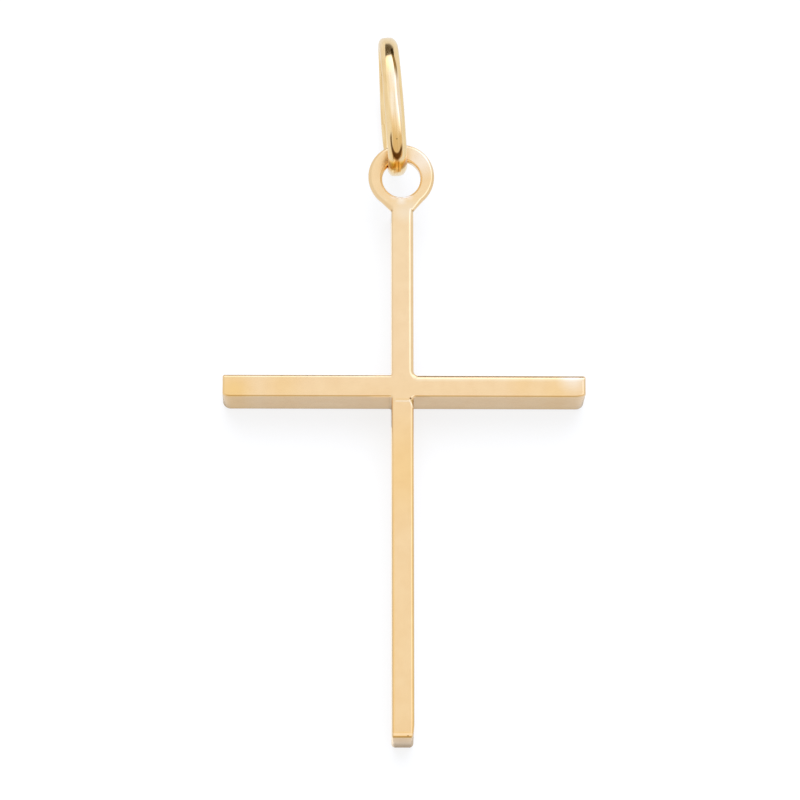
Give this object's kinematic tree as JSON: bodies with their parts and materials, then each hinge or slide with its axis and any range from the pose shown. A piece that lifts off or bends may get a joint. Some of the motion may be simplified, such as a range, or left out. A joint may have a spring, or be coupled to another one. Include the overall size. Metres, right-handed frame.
{
  "type": "cross pendant with jump ring",
  "caption": "Slim yellow gold Latin cross pendant, square-edged and deeper than it is wide, with a soldered eyelet and a half-round jump ring for a chain.",
  "frame": {"origin": "the middle of the crossing on the cross's back face, which lies on the surface", "axes": "+X along the right arm, +Y up the stem towards the jump ring, +Z out of the front"},
  "size_m": [0.02, 0.0393, 0.0077],
  "materials": {
    "gold": "polished yellow gold",
    "ring_gold": "polished yellow gold"
  },
  "bodies": {
    "root": {"cross": "gold", "jump_ring": "ring_gold"}
  },
  "joints": []
}
